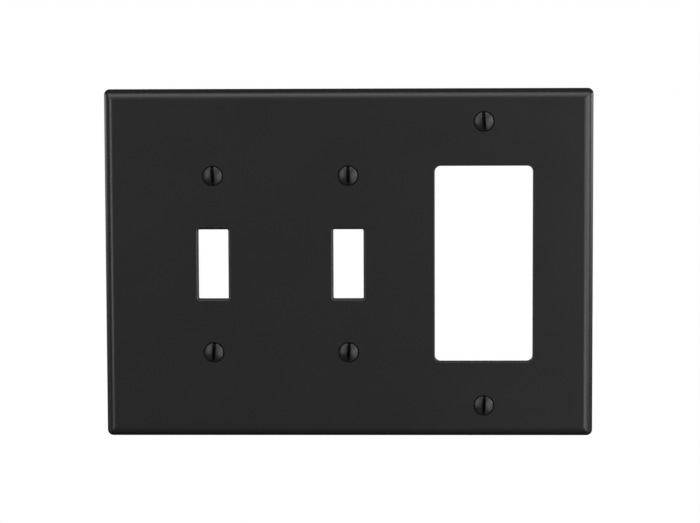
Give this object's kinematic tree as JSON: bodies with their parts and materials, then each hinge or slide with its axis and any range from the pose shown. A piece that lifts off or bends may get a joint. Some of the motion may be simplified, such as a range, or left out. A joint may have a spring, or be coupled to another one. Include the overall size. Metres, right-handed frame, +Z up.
{
  "type": "wall plate cover",
  "caption": "Black wall plate cover with toggle openings beside a decorator opening, a rounded edge and captive slotted screws; covers wiring devices in a wall box.",
  "frame": {"origin": "centre of the plate's outline on the wall plane, where the plate's back rim meets the wall", "axes": "+X to the right as seen from the front, +Y into the wall, +Z up; the front faces -Y"},
  "size_m": [0.1666, 0.0137, 0.119],
  "materials": {
    "plate_black": "fine matte, moulded",
    "screw_black": "satin black coating",
    "retainer_nylon": "natural nylon"
  },
  "bodies": {
    "wall_plate": {"wall_plate": "plate_black"},
    "retainer_left_upper": {"retainer_left_upper": "retainer_nylon"},
    "retainer_left_lower": {"retainer_left_lower": "retainer_nylon"},
    "retainer_middle_upper": {"retainer_middle_upper": "retainer_nylon"},
    "retainer_middle_lower": {"retainer_middle_lower": "retainer_nylon"},
    "retainer_right_upper": {"retainer_right_upper": "retainer_nylon"},
    "retainer_right_lower": {"retainer_right_lower": "retainer_nylon"},
    "screw_left_upper": {"screw_left_upper": "screw_black"},
    "screw_left_lower": {"screw_left_lower": "screw_black"},
    "screw_middle_upper": {"screw_middle_upper": "screw_black"},
    "screw_middle_lower": {"screw_middle_lower": "screw_black"},
    "screw_right_upper": {"screw_right_upper": "screw_black"},
    "screw_right_lower": {"screw_right_lower": "screw_black"}
  },
  "joints": [
    {"name": "left_upper_travel", "type": "slide", "parent": "wall_plate", "child": "retainer_left_upper", "axis": [0, -1, 0], "range_m": [0, 0.0037]},
    {"name": "left_upper_turn", "type": "hinge", "parent": "retainer_left_upper", "child": "screw_left_upper", "pos_m": [-0.04604, -0.0058, 0.03017], "axis": [0, -1, 0], "continuous": true},
    {"name": "left_lower_travel", "type": "slide", "parent": "wall_plate", "child": "retainer_left_lower", "axis": [0, -1, 0], "range_m": [0, 0.0037]},
    {"name": "left_lower_turn", "type": "hinge", "parent": "retainer_left_lower", "child": "screw_left_lower", "pos_m": [-0.04604, -0.0058, -0.03017], "axis": [0, -1, 0], "continuous": true},
    {"name": "middle_upper_travel", "type": "slide", "parent": "wall_plate", "child": "retainer_middle_upper", "axis": [0, -1, 0], "range_m": [0, 0.0037]},
    {"name": "middle_upper_turn", "type": "hinge", "parent": "retainer_middle_upper", "child": "screw_middle_upper", "pos_m": [0, -0.0058, 0.03017], "axis": [0, -1, 0], "continuous": true},
    {"name": "middle_lower_travel", "type": "slide", "parent": "wall_plate", "child": "retainer_middle_lower", "axis": [0, -1, 0], "range_m": [0, 0.0037]},
    {"name": "middle_lower_turn", "type": "hinge", "parent": "retainer_middle_lower", "child": "screw_middle_lower", "pos_m": [0, -0.0058, -0.03017], "axis": [0, -1, 0], "continuous": true},
    {"name": "right_upper_travel", "type": "slide", "parent": "wall_plate", "child": "retainer_right_upper", "axis": [0, -1, 0], "range_m": [0, 0.0037]},
    {"name": "right_upper_turn", "type": "hinge", "parent": "retainer_right_upper", "child": "screw_right_upper", "pos_m": [0.04604, -0.0058, 0.04842], "axis": [0, -1, 0], "continuous": true},
    {"name": "right_lower_travel", "type": "slide", "parent": "wall_plate", "child": "retainer_right_lower", "axis": [0, -1, 0], "range_m": [0, 0.0037]},
    {"name": "right_lower_turn", "type": "hinge", "parent": "retainer_right_lower", "child": "screw_right_lower", "pos_m": [0.04604, -0.0058, -0.04842], "axis": [0, -1, 0], "continuous": true}
  ]
}
